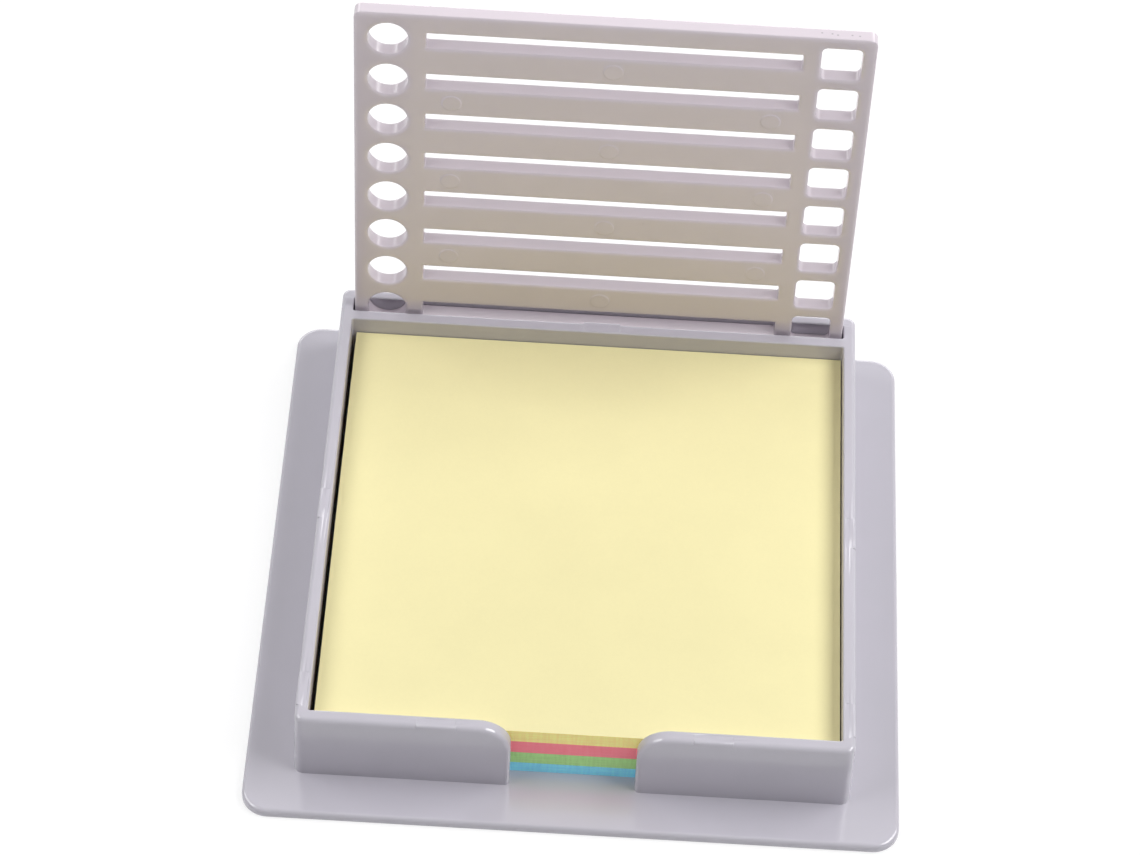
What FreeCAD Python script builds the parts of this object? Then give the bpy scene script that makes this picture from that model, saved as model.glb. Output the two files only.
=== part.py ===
"""A desk tray for square sticky notes, with a drawing stencil standing in a slot at its back.

Millimetres. X runs to the right, Y to the back and Z up. The origin is the centre of the tray's underside.
The tray and the stencil are plastic mouldings, and four pads of notes lie on each other in the tray's well.
"""
import FreeCAD, Part
import math
import os
import Sketcher

V = FreeCAD.Vector
UP = V(0, 0, 1)
QUARTER_TURN = math.pi / 2
TOLERANCE = 1e-4

doc = FreeCAD.newDocument("StickyNoteHolder")

# Driving dimensions
SIZES = [
    ("note_size", 76.0, "side of a square note"),
    ("note_play_across", 0.8, "well is this much wider than the notes"),
    ("note_play_along", 0.6, "well is this much longer than the notes"),
    ("notes_to_right", 0.25, "notes lie this far right of the well's middle"),
    ("notes_to_back", 0.2, "notes lie this far behind the well's middle"),
    ("yellow_thickness", 2.47, "top pad"),
    ("pink_thickness", 2.56, "second pad"),
    ("green_thickness", 2.43, "third pad"),
    ("blue_thickness", 2.04, "bottom pad"),
    ("plate_width", 95.4, "base plate across"),
    ("plate_length", 95.1, "base plate from front to back"),
    ("plate_thickness", 1.6, "base plate"),
    ("plate_corner_radius", 4.0, "base plate's corners seen from above"),
    ("plate_top_rounding", 0.6, "upper edge of the base plate"),
    ("plate_foot_bevel", 0.3, "lower edge of the base plate"),
    ("front_flange", 7.15, "plate in front of the box's foot"),
    ("wall_height", 12.5, "box walls above the plate"),
    ("wall_draft", 1.0, "degrees that the outer faces of the box lean inwards"),
    ("side_wall", 1.88, "left and right walls at the rim"),
    ("front_wall", 1.98, "front wall at the rim"),
    ("middle_wall", 1.85, "wall between the notes and the stencil"),
    ("rear_wall", 1.85, "wall behind the stencil, at the rim"),
    ("box_corner_radius", 1.5, "upright outer corners of the box, at its foot"),
    ("well_corner_radius", 0.3, "upright inner corners of the box"),
    ("rim_rounding", 0.7, "outer upper edges of the walls"),
    ("inner_rim_bevel", 0.2, "edges of the well and the slot"),
    ("finger_gap_width", 18.2, "gap in the front wall"),
    ("finger_gap_radius", 4.8, "rounded upper ends of the front wall at the gap"),
    ("slot_play_along", 0.45, "slot is this much wider than the stencil is thick"),
    ("slot_play_across", 0.5, "slot is this much longer than the stencil is wide"),
    ("foot_gap", 0.24, "stencil's foot to the middle wall"),
    ("touch_gap", 0.02, "stencil to the rear wall's edge and to the slot's floor"),
    ("stencil_height", 74.4, "stencil from foot to top"),
    ("stencil_thickness", 2.3, "stencil"),
    ("stencil_corner_radius", 1.2, "stencil's corners"),
    ("row_pitch", 8.04, "from one row of openings to the next"),
    ("top_margin", 5.0, "stencil's top edge to the middle of the first row"),
    ("foot_margin", 5.0, "least height of the lowest row's middle above the stencil's foot"),
    ("side_margin", 2.0, "stencil's side edge to the circle or the square"),
    ("shape_size", 6.0, "diameter of the circle and side of the square"),
    ("square_corner_radius", 0.9, "corners of the square openings"),
    ("slot_margin", 2.6, "circle or square to the end of the long slot"),
    ("line_height", 2.9, "height of the long slot"),
    ("opening_bevel", 0.3, "edges of the openings on the stencil's front face"),
    ("stencil_edge_bevel", 0.25, "outer edges of the stencil"),
    ("gate_radius", 3.0, "round dimple under the tray where the plastic was fed in"),
    ("gate_depth", 0.4, "depth of that dimple"),
    ("gate_stub_radius", 0.7, "stub left in the dimple"),
    ("gate_stub_height", 0.25, "height of the stub, less than the dimple's depth"),
]

sizes = doc.addObject("Spreadsheet::Sheet", "Sizes")
for row, (alias, value, note) in enumerate(SIZES, start=1):
    sizes.set(f"A{row}", note)
    sizes.set(f"B{row}", str(value))
    sizes.setAlias(f"B{row}", alias)
doc.recompute()

# Sizes that follow from the driving ones
WORKED = [
    ("well_width", "Sizes.note_size + Sizes.note_play_across"),
    ("well_length", "Sizes.note_size + Sizes.note_play_along"),
    ("stencil_width", "well_width - Sizes.slot_play_across"),
    ("slot_width", "Sizes.stencil_thickness + Sizes.slot_play_along"),
    ("draft_run", "Sizes.wall_height * tan(Sizes.wall_draft * 1 deg)"),
    ("box_width", "well_width + 2 * Sizes.side_wall"),
    ("foot_front", "-Sizes.plate_length / 2 + Sizes.front_flange"),
    ("box_front", "foot_front + draft_run"),
    ("well_front", "box_front + Sizes.front_wall"),
    ("well_back", "well_front + well_length"),
    ("slot_front", "well_back + Sizes.middle_wall"),
    ("slot_back", "slot_front + slot_width"),
    ("box_back", "slot_back + Sizes.rear_wall"),
    ("rim_level", "Sizes.plate_thickness + Sizes.wall_height"),
    ("notes_middle", "(well_front + well_back) / 2 + Sizes.notes_to_back"),
    ("lean_run", "Sizes.slot_play_along - Sizes.foot_gap - Sizes.touch_gap"),
    ("lean_angle", "atan(lean_run / Sizes.wall_height)"),
    ("foot_back", "slot_back - Sizes.touch_gap - lean_run"),
    ("rows_reach", "Sizes.stencil_height - Sizes.top_margin - Sizes.foot_margin"),
    ("row_steps", "floor(rows_reach / Sizes.row_pitch)"),
    ("lowest_row", "Sizes.stencil_height - Sizes.top_margin - row_steps * Sizes.row_pitch"),
    ("line_end", "stencil_width / 2 - Sizes.side_margin - Sizes.shape_size - Sizes.slot_margin"),
    ("shape_middle", "stencil_width / 2 - Sizes.side_margin - Sizes.shape_size / 2"),
]

worked = doc.addObject("Spreadsheet::Sheet", "Worked")
for row, (alias, formula) in enumerate(WORKED, start=1):
    worked.set(f"A{row}", alias)
    worked.setAlias(f"B{row}", alias)
    worked.set(f"B{row}", "=" + formula)
doc.recompute()


def evaluate(expression):
    """The number that an expression on the two sheets stands for."""
    value = sizes.evalExpression(expression)
    return float(getattr(value, "Value", value))


def size(alias):
    """The present value of a driving or a worked-out size, in millimetres."""
    is_worked = any(alias == name for name, _ in WORKED)
    return evaluate(("Worked." if is_worked else "Sizes.") + alias)


def new_body(label):
    body = doc.addObject("PartDesign::Body", label)
    body.Label = label
    return body


def origin_plane(body, role):
    return next(item for item in body.Origin.OriginFeatures if item.Role == role)


def new_sketch(body, name, role="XY_Plane", offset=None):
    """A sketch on one of the body's own planes, moved along the plane's normal by an expression."""
    sketch = body.newObject("Sketcher::SketchObject", name)
    sketch.AttachmentSupport = [(origin_plane(body, role), "")]
    sketch.MapMode = "FlatFace"
    if offset:
        sketch.setExpression("AttachmentOffset.Base.z", offset)
    return sketch


def set_length(sketch, index, name, expression):
    """Names a dimension of a sketch and ties it to the sheet."""
    sketch.renameConstraint(index, name)
    sketch.setExpression("Constraints." + name, expression)


def add_rectangle(sketch, tag, middle, across, along):
    """Four lines with sharp corners. What follows the tag is written as expressions."""
    mid_x, mid_y = middle
    w, d = evaluate(across) / 2, evaluate(along) / 2
    cx, cy = evaluate(mid_x), evaluate(mid_y)
    corners = [V(cx - w, cy - d, 0), V(cx + w, cy - d, 0), V(cx + w, cy + d, 0), V(cx - w, cy + d, 0)]
    lines = []
    for k, corner in enumerate(corners):
        lines.append(sketch.addGeometry(Part.LineSegment(corner, corners[(k + 1) % 4]), False))
    for k, line in enumerate(lines):
        sketch.addConstraint(Sketcher.Constraint("Coincident", line, 2, lines[(k + 1) % 4], 1))
        sketch.addConstraint(Sketcher.Constraint("Vertical" if k % 2 else "Horizontal", line))
    bottom, right = lines[:2]
    index = sketch.addConstraint(Sketcher.Constraint("DistanceX", bottom, 1, bottom, 2, 2 * w))
    set_length(sketch, index, tag + "_across", across)
    index = sketch.addConstraint(Sketcher.Constraint("DistanceY", right, 1, right, 2, 2 * d))
    set_length(sketch, index, tag + "_along", along)
    index = sketch.addConstraint(Sketcher.Constraint("DistanceX", -1, 1, right, 2, cx + w))
    set_length(sketch, index, tag + "_right", f"{mid_x} + ({across}) / 2")
    index = sketch.addConstraint(Sketcher.Constraint("DistanceY", -1, 1, right, 2, cy + d))
    set_length(sketch, index, tag + "_back", f"{mid_y} + ({along}) / 2")


def add_rounded_rectangle(sketch, tag, middle, across, along, radius):
    """Four lines and four tangent quarter arcs, written down in the same way."""
    mid_x, mid_y = middle
    w, d, r = evaluate(across) / 2, evaluate(along) / 2, evaluate(radius)
    cx, cy = evaluate(mid_x), evaluate(mid_y)
    corners = [(cx + w - r, cy + d - r, 0), (cx - w + r, cy + d - r, 1),
               (cx - w + r, cy - d + r, 2), (cx + w - r, cy - d + r, 3)]
    arcs = []
    for x, y, quarter in corners:
        circle = Part.Circle(V(x, y, 0), UP, r)
        arc = Part.ArcOfCircle(circle, quarter * QUARTER_TURN, (quarter + 1) * QUARTER_TURN)
        arcs.append(sketch.addGeometry(arc, False))
    lines = []
    for k, arc in enumerate(arcs):
        start = sketch.getPoint(arc, 2)
        end = sketch.getPoint(arcs[(k + 1) % 4], 1)
        lines.append(sketch.addGeometry(Part.LineSegment(start, end), False))
    for k, line in enumerate(lines):
        sketch.addConstraint(Sketcher.Constraint("Tangent", arcs[k], 2, line, 1))
        sketch.addConstraint(Sketcher.Constraint("Tangent", line, 2, arcs[(k + 1) % 4], 1))
    top, left, bottom, right = lines
    for line in (top, bottom):
        sketch.addConstraint(Sketcher.Constraint("Horizontal", line))
    for line in (left, right):
        sketch.addConstraint(Sketcher.Constraint("Vertical", line))
    for arc in arcs[1:]:
        sketch.addConstraint(Sketcher.Constraint("Equal", arcs[0], arc))
    index = sketch.addConstraint(Sketcher.Constraint("Radius", arcs[0], r))
    set_length(sketch, index, tag + "_radius", radius)
    index = sketch.addConstraint(Sketcher.Constraint("DistanceX", left, 1, right, 1, 2 * w))
    set_length(sketch, index, tag + "_across", across)
    index = sketch.addConstraint(Sketcher.Constraint("DistanceY", bottom, 1, top, 1, 2 * d))
    set_length(sketch, index, tag + "_along", along)
    index = sketch.addConstraint(Sketcher.Constraint("DistanceX", -1, 1, right, 1, cx + w))
    set_length(sketch, index, tag + "_right", f"{mid_x} + ({across}) / 2")
    index = sketch.addConstraint(Sketcher.Constraint("DistanceY", -1, 1, top, 1, cy + d))
    set_length(sketch, index, tag + "_back", f"{mid_y} + ({along}) / 2")


def add_feature(body, kind, name, sketch, length, reverse=False, taper=None):
    """A Pad or a Pocket of a sketch, its length tied to the sheet. It has to change the body's volume."""
    before = body.Shape.Volume if body.Tip else 0.0
    feature = body.newObject("PartDesign::" + kind, name)
    feature.Profile = sketch
    feature.Reversed = reverse
    feature.setExpression("Length", length)
    if taper:
        feature.setExpression("TaperAngle", taper)
    body.Tip = feature
    doc.recompute()
    gained = feature.Shape.Volume - before
    if gained * (1 if kind == "Pad" else -1) <= 0:
        raise RuntimeError(f"{name} points away from the solid")
    return feature


def edges_where(feature, test):
    """The names of a feature's edges that pass a test on the edge itself."""
    return [f"Edge{k}" for k, edge in enumerate(feature.Shape.Edges, start=1) if test(edge)]


def dress_edges(body, kind, name, base, edge_names, expression):
    """A Fillet or a Chamfer on the named edges of a feature, with its radius or size tied to the sheet."""
    dressing = body.newObject("PartDesign::" + kind, name)
    dressing.Base = (base, edge_names)
    dressing.setExpression("Radius" if kind == "Fillet" else "Size", expression)
    body.Tip = dressing
    doc.recompute()
    return dressing


def lies_at_height(edge, z):
    box = edge.BoundBox
    return abs(box.ZMin - z) < TOLERANCE and abs(box.ZMax - z) < TOLERANCE


def stands_at_gap(edge, front, back):
    """True for the upright and rounded edges of the front wall's two ends that lie between two depths."""
    box = edge.BoundBox
    in_face = box.YMin > front - TOLERANCE and box.YMax < back + TOLERANCE
    reach = size("finger_gap_width") / 2 + size("finger_gap_radius")
    near_gap = max(abs(box.XMin), abs(box.XMax)) < reach + TOLERANCE
    above_plate = box.ZMax > size("plate_thickness") + TOLERANCE
    return in_face and near_gap and above_plate


def runs_round_box(edge):
    """True for the outer upper edges of the four walls."""
    box = edge.BoundBox
    if not lies_at_height(edge, size("rim_level")):
        return False
    side = max(abs(box.XMin), abs(box.XMax)) > size("box_width") / 2 - TOLERANCE
    front = box.YMax < size("box_front") + TOLERANCE
    back = box.YMin > size("box_back") - TOLERANCE
    return side or front or back


def runs_round_hollow(edge):
    """True for the upper edges of the well and the slot."""
    across_wall = edge.BoundBox.YMin < size("box_front") + TOLERANCE
    return lies_at_height(edge, size("rim_level")) and not runs_round_box(edge) and not across_wall


def add_finger_gap(body):
    """Cuts the front wall through. The wall's two ends are rounded over at the top by quarter arcs."""
    sketch = new_sketch(body, "FingerGapOutline", "XZ_Plane", "-Worked.foot_front")
    half, r = size("finger_gap_width") / 2, size("finger_gap_radius")
    floor, rim = size("plate_thickness"), size("rim_level")
    bottom = sketch.addGeometry(Part.LineSegment(V(-half, floor, 0), V(half, floor, 0)), False)
    right = sketch.addGeometry(Part.LineSegment(V(half, floor, 0), V(half, rim - r, 0)), False)
    left = sketch.addGeometry(Part.LineSegment(V(-half, rim - r, 0), V(-half, floor, 0)), False)
    top = sketch.addGeometry(Part.LineSegment(V(half + r, rim, 0), V(-half - r, rim, 0)), False)
    right_circle = Part.Circle(V(half + r, rim - r, 0), UP, r)
    right_arc = sketch.addGeometry(Part.ArcOfCircle(right_circle, QUARTER_TURN, 2 * QUARTER_TURN), False)
    left_circle = Part.Circle(V(-half - r, rim - r, 0), UP, r)
    left_arc = sketch.addGeometry(Part.ArcOfCircle(left_circle, 0, QUARTER_TURN), False)
    sketch.addConstraint([
        Sketcher.Constraint("Coincident", bottom, 2, right, 1),
        Sketcher.Constraint("Coincident", left, 2, bottom, 1),
        Sketcher.Constraint("Tangent", right, 2, right_arc, 2),
        Sketcher.Constraint("Tangent", left, 1, left_arc, 1),
        Sketcher.Constraint("Coincident", top, 1, right_arc, 1),
        Sketcher.Constraint("Coincident", top, 2, left_arc, 2),
        Sketcher.Constraint("Horizontal", top),
        Sketcher.Constraint("Vertical", right),
        Sketcher.Constraint("Vertical", left),
        Sketcher.Constraint("Vertical", right_arc, 3, right_arc, 1),
        Sketcher.Constraint("Vertical", left_arc, 3, left_arc, 2),
        Sketcher.Constraint("Equal", left_arc, right_arc),
        Sketcher.Constraint("Symmetric", bottom, 1, bottom, 2, -2),
    ])
    index = sketch.addConstraint(Sketcher.Constraint("Radius", right_arc, r))
    set_length(sketch, index, "gap_radius", "Sizes.finger_gap_radius")
    index = sketch.addConstraint(Sketcher.Constraint("DistanceX", bottom, 1, bottom, 2, 2 * half))
    set_length(sketch, index, "gap_width", "Sizes.finger_gap_width")
    index = sketch.addConstraint(Sketcher.Constraint("DistanceY", -1, 1, bottom, 1, floor))
    set_length(sketch, index, "gap_floor", "Sizes.plate_thickness")
    index = sketch.addConstraint(Sketcher.Constraint("DistanceY", -1, 1, top, 1, rim))
    set_length(sketch, index, "gap_rim", "Worked.rim_level")
    return add_feature(body, "Pocket", "FingerGap", sketch, "Worked.well_front - Worked.foot_front")


def add_round(body, kind, name, radius, length, level=None):
    """A round Pad or Pocket on the Z axis, on the side of its sketch that the underside's dimple needs."""
    sketch = new_sketch(body, name + "Circle", offset=level)
    circle = sketch.addGeometry(Part.Circle(V(0, 0, 0), UP, evaluate(radius)), False)
    sketch.addConstraint(Sketcher.Constraint("Coincident", circle, 3, -1, 1))
    index = sketch.addConstraint(Sketcher.Constraint("Radius", circle, evaluate(radius)))
    set_length(sketch, index, "round_radius", radius)
    return add_feature(body, kind, name, sketch, length, reverse=True)


def make_tray():
    body = new_body("tray")

    plate_outline = new_sketch(body, "PlateOutline")
    add_rounded_rectangle(plate_outline, "plate", ("0", "0"), "Sizes.plate_width", "Sizes.plate_length",
                          "Sizes.plate_corner_radius")
    plate = add_feature(body, "Pad", "Plate", plate_outline, "Sizes.plate_thickness")
    top_edges = edges_where(plate, lambda edge: lies_at_height(edge, size("plate_thickness")))
    plate = dress_edges(body, "Fillet", "PlateTopRounding", plate, top_edges, "Sizes.plate_top_rounding")
    foot_edges = edges_where(plate, lambda edge: lies_at_height(edge, 0))
    dress_edges(body, "Chamfer", "PlateFootBevel", plate, foot_edges, "Sizes.plate_foot_bevel")

    box_outline = new_sketch(body, "BoxOutline", offset="Sizes.plate_thickness")
    add_rounded_rectangle(box_outline, "box", ("0", "(Worked.box_front + Worked.box_back) / 2"),
                          "Worked.box_width + 2 * Worked.draft_run",
                          "Worked.box_back - Worked.box_front + 2 * Worked.draft_run",
                          "Sizes.box_corner_radius")
    add_feature(body, "Pad", "Box", box_outline, "Sizes.wall_height", taper="-Sizes.wall_draft * 1 deg")

    well_outline = new_sketch(body, "WellOutline", offset="Worked.rim_level")
    add_rounded_rectangle(well_outline, "well", ("0", "(Worked.well_front + Worked.well_back) / 2"),
                          "Worked.well_width", "Worked.well_length", "Sizes.well_corner_radius")
    add_feature(body, "Pocket", "Well", well_outline, "Sizes.wall_height")

    slot_outline = new_sketch(body, "SlotOutline", offset="Worked.rim_level")
    add_rounded_rectangle(slot_outline, "slot", ("0", "(Worked.slot_front + Worked.slot_back) / 2"),
                          "Worked.well_width", "Worked.slot_width", "Sizes.well_corner_radius")
    add_feature(body, "Pocket", "StencilSlot", slot_outline, "Sizes.wall_height")

    def on_outside(edge):
        return runs_round_box(edge) or stands_at_gap(edge, size("foot_front"), size("box_front"))

    def on_inside(edge):
        return runs_round_hollow(edge) or stands_at_gap(edge, size("well_front"), size("well_front"))

    walls = add_finger_gap(body)
    outer = edges_where(walls, on_outside)
    walls = dress_edges(body, "Fillet", "OuterRimRounding", walls, outer, "Sizes.rim_rounding")
    inner = edges_where(walls, on_inside)
    dress_edges(body, "Chamfer", "InnerRimBevel", walls, inner, "Sizes.inner_rim_bevel")

    add_round(body, "Pocket", "GateDimple", "Sizes.gate_radius", "Sizes.gate_depth")
    add_round(body, "Pad", "GateStub", "Sizes.gate_stub_radius", "Sizes.gate_stub_height",
              "Sizes.gate_depth")
    return body


def make_stencil():
    """Made lying on its back, foot towards -Y, and then stood up in the slot by its placement."""
    body = new_body("stencil_plate")

    outline = new_sketch(body, "StencilOutline")
    add_rounded_rectangle(outline, "stencil", ("0", "Sizes.stencil_height / 2"), "Worked.stencil_width",
                          "Sizes.stencil_height", "Sizes.stencil_corner_radius")
    add_feature(body, "Pad", "StencilPlate", outline, "Sizes.stencil_thickness")

    openings = new_sketch(body, "LowestRow", offset="Sizes.stencil_thickness")
    shape_middle, lowest_row = size("shape_middle"), size("lowest_row")
    centre = V(-shape_middle, lowest_row, 0)
    circle = openings.addGeometry(Part.Circle(centre, UP, size("shape_size") / 2), False)
    index = openings.addConstraint(Sketcher.Constraint("Diameter", circle, size("shape_size")))
    set_length(openings, index, "circle_diameter", "Sizes.shape_size")
    index = openings.addConstraint(Sketcher.Constraint("DistanceX", circle, 3, -1, 1, shape_middle))
    set_length(openings, index, "circle_left", "Worked.shape_middle")
    index = openings.addConstraint(Sketcher.Constraint("DistanceY", -1, 1, circle, 3, lowest_row))
    set_length(openings, index, "circle_up", "Worked.lowest_row")
    add_rectangle(openings, "line", ("0", "Worked.lowest_row"), "2 * Worked.line_end", "Sizes.line_height")
    add_rounded_rectangle(openings, "square", ("Worked.shape_middle", "Worked.lowest_row"),
                          "Sizes.shape_size", "Sizes.shape_size", "Sizes.square_corner_radius")
    row_cut = add_feature(body, "Pocket", "RowOfOpenings", openings, "Sizes.stencil_thickness")

    pattern = body.newObject("PartDesign::LinearPattern", "RowsOfOpenings")
    pattern.Originals = [row_cut]
    pattern.Direction = (openings, ["V_Axis"])
    pattern.setExpression("Length", "Worked.row_steps * Sizes.row_pitch")
    pattern.setExpression("Occurrences", "Worked.row_steps + 1")
    body.Tip = pattern
    doc.recompute()

    half_width, height = size("stencil_width") / 2, size("stencil_height")

    def on_outline(edge):
        box = edge.BoundBox
        side = max(abs(box.XMin), abs(box.XMax)) > half_width - TOLERANCE
        return side or box.YMin < TOLERANCE or box.YMax > height - TOLERANCE

    def on_front(edge):
        return lies_at_height(edge, size("stencil_thickness"))

    def on_back(edge):
        return lies_at_height(edge, 0)

    rims = edges_where(pattern, lambda edge: on_front(edge) and not on_outline(edge))
    bevelled = dress_edges(body, "Chamfer", "OpeningBevel", pattern, rims, "Sizes.opening_bevel")
    outer = edges_where(bevelled, lambda edge: (on_front(edge) or on_back(edge)) and on_outline(edge))
    dress_edges(body, "Chamfer", "StencilEdgeBevel", bevelled, outer, "Sizes.stencil_edge_bevel")

    body.Placement = FreeCAD.Placement(V(0, 0, 0), FreeCAD.Rotation(V(1, 0, 0), 90))
    body.setExpression("Placement.Rotation.Angle", "90 deg - Worked.lean_angle")
    body.setExpression("Placement.Base.y", "Worked.foot_back")
    body.setExpression("Placement.Base.z", "Sizes.plate_thickness + Sizes.touch_gap")
    return body


def make_pad(colour, below):
    """One pad of square notes, lying on the pads named in below."""
    body = new_body("pad_" + colour)
    outline = new_sketch(body, colour.capitalize() + "Outline")
    add_rectangle(outline, "note", ("0", "0"), "Sizes.note_size", "Sizes.note_size")
    add_feature(body, "Pad", colour.capitalize() + "Notes", outline, f"Sizes.{colour}_thickness")
    level = " + ".join(["Sizes.plate_thickness"] + [f"Sizes.{name}_thickness" for name in below])
    body.setExpression("Placement.Base.x", "Sizes.notes_to_right")
    body.setExpression("Placement.Base.y", "Worked.notes_middle")
    body.setExpression("Placement.Base.z", level)
    return body


parts = [make_tray(), make_stencil()]
colours_from_below = ["blue", "green", "pink", "yellow"]
for place, colour in enumerate(colours_from_below):
    parts.append(make_pad(colour, colours_from_below[:place]))
doc.recompute()

for item in doc.Objects:
    if "Invalid" in item.State or "Error" in item.State:
        raise RuntimeError(f"{item.Label} failed: {item.State}")
for part in parts:
    if part.Shape.isNull() or not part.Shape.isValid() or len(part.Shape.Solids) != 1:
        raise RuntimeError(f"{part.Label} isn't one valid solid")

os.makedirs("parts", exist_ok=True)
for part in parts:
    part.Shape.exportStep(f"parts/{part.Label}.step")
    box = part.Shape.BoundBox
    print(f"{part.Label}: {part.Shape.Volume:.1f} mm3, x {box.XMin:.2f} to {box.XMax:.2f}, "
          f"y {box.YMin:.2f} to {box.YMax:.2f}, z {box.ZMin:.2f} to {box.ZMax:.2f}")
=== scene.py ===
# %% [markdown]
# # A sticky note holder, dressed from its measured model
#
# The holder is one moulded tray, one moulded stencil that leans in a slot behind it, and four pads of
# paper notes. The measured solids arrive as a fixed frame, in metres, with Z up and the origin in the
# middle of the tray's underside. This lesson gives them their real finish: soft rims, thin moulding
# marks, the cut edges of paper, and plain studio light. Every surface is worked out with numpy, as whole
# arrays of points, and then handed to Blender in one go.

# %% Load the frame
import math

import bmesh
import bpy
import numpy as np
from mathutils import Euler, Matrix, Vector


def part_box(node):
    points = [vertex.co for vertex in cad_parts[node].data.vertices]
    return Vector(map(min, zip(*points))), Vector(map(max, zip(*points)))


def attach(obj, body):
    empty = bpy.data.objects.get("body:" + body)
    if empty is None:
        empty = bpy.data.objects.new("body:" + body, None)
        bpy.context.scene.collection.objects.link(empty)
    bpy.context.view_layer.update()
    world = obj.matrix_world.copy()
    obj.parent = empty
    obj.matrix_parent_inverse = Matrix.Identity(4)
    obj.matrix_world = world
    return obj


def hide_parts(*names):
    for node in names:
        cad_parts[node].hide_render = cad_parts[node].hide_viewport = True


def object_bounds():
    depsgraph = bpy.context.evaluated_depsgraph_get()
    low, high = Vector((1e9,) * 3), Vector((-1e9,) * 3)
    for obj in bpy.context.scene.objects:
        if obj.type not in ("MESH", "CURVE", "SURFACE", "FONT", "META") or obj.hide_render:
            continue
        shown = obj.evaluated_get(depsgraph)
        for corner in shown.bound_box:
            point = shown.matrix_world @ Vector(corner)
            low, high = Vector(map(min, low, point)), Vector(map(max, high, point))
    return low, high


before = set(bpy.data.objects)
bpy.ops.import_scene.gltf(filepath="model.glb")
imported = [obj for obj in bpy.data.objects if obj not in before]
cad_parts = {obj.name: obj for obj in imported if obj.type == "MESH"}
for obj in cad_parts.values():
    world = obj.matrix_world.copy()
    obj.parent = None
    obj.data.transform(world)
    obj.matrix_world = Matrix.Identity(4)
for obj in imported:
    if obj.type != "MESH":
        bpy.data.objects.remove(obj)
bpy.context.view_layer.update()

mm = 0.001
scene = bpy.context.scene
scene.view_settings.view_transform = "Standard"
print("nodes in the frame:", sorted(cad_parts))

# %% [markdown]
# ## The camera
#
# A product picture is taken with a long lens, so that upright sides stay nearly parallel. The place,
# turn and focal length below put the tray's corners and the stencil's corners where the photograph has
# them. A long lens further away or a short one close by would give other slopes to the plate's sides.

# %% Camera
camera_place = Vector((-0.901, -380.627, 468.474)) * mm
camera_turn = Euler([math.radians(angle) for angle in (41.2476, -2.0296, 2.6731)], "XYZ")

camera_data = bpy.data.cameras.new("camera")
camera_data.sensor_width = 36.0
camera_data.lens = 125.0
camera_data.clip_start = 0.01
camera_data.clip_end = 20.0
camera = bpy.data.objects.new("camera", camera_data)
camera.location = camera_place
camera.rotation_euler = camera_turn
scene.collection.objects.link(camera)
scene.camera = camera
print("camera stands", round(camera_place.length, 3), "m from the origin")

# %% [markdown]
# ## Helpers for shader nodes
#
# A material is a small graph. Writing it as nested calls keeps it short: each helper adds one node,
# fills its sockets with numbers or with the outputs of other nodes, and gives back its output.

# %% Node helpers
def add_node(tree, kind, output, settings=None, **sockets):
    """Adds one shader node. Settings are its own switches, and each socket gets a value or a link."""
    node = tree.nodes.new("ShaderNode" + kind)
    for key, value in (settings or {}).items():
        setattr(node, key, value)
    for key, value in sockets.items():
        socket = node.inputs[key.replace("_", " ")]
        if isinstance(value, bpy.types.NodeSocket):
            tree.links.new(value, socket)
        else:
            socket.default_value = value
    return node.outputs[output] if output else node


def calculate(tree, operation, *terms):
    """Adds one Math node whose terms are numbers or other outputs."""
    node = tree.nodes.new("ShaderNodeMath")
    node.operation = operation
    for socket, term in zip(node.inputs, terms):
        if isinstance(term, bpy.types.NodeSocket):
            tree.links.new(term, socket)
        else:
            socket.default_value = term
    return node.outputs[0]


def remap(tree, value, low, high, to_low, to_high):
    """Maps a value from one range to another, held at both ends."""
    return add_node(tree, "MapRange", "Result", Value=value, From_Min=low, From_Max=high,
                    To_Min=to_low, To_Max=to_high)


def blend_colours(tree, factor, first, second):
    """Mixes two colours, each four numbers or an output."""
    node = tree.nodes.new("ShaderNodeMix")
    node.data_type = "RGBA"
    for name, value in (("Factor", factor), ("A", first), ("B", second)):
        socket = next(item for item in node.inputs if item.name == name and item.enabled)
        if isinstance(value, bpy.types.NodeSocket):
            tree.links.new(value, socket)
        else:
            socket.default_value = value
    return next(item for item in node.outputs if item.enabled)


def start_material(name):
    """A new material with an empty graph."""
    material = bpy.data.materials.new(name)
    material.use_nodes = True
    material.node_tree.nodes.clear()
    return material, material.node_tree


def opaque(red, green, blue):
    """A colour with full cover, in linear light."""
    return (red, green, blue, 1.0)


print("node helpers ready")

# %% [markdown]
# ## Light
#
# The photograph has the usual set of a product table: a softbox at each side, the right one stronger, a
# bright backdrop behind, and hardly any light from the camera's side. One can tell from the shades: the
# level tops of the walls are bright, the front wall is dim towards its foot, the left flange is darker
# than the right, and the stencil's slots glow on their upper faces. A softbox is an area lamp. Its
# strength is given here as the brightness of its face, where one is the brightness of a white card, and
# the power that Blender wants is that times pi times its area.

# %% World
world_strength = 0.04
world = bpy.data.worlds.new("white_tent")
world.use_nodes = True
scene.world = world
sky = world.node_tree
sky.nodes.clear()
seen = add_node(sky, "LightPath", None)
shown = calculate(sky, "MAXIMUM", seen.outputs["Is Camera Ray"], seen.outputs["Is Glossy Ray"])
shown = calculate(sky, "MAXIMUM", shown, seen.outputs["Is Transmission Ray"])
strength = remap(sky, shown, 0.0, 1.0, world_strength, 1.0)
background = add_node(sky, "Background", "Background", Color=opaque(1.0, 0.995, 1.0), Strength=strength)
sky_output = sky.nodes.new("ShaderNodeOutputWorld")
sky.links.new(background, sky_output.inputs["Surface"])

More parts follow.
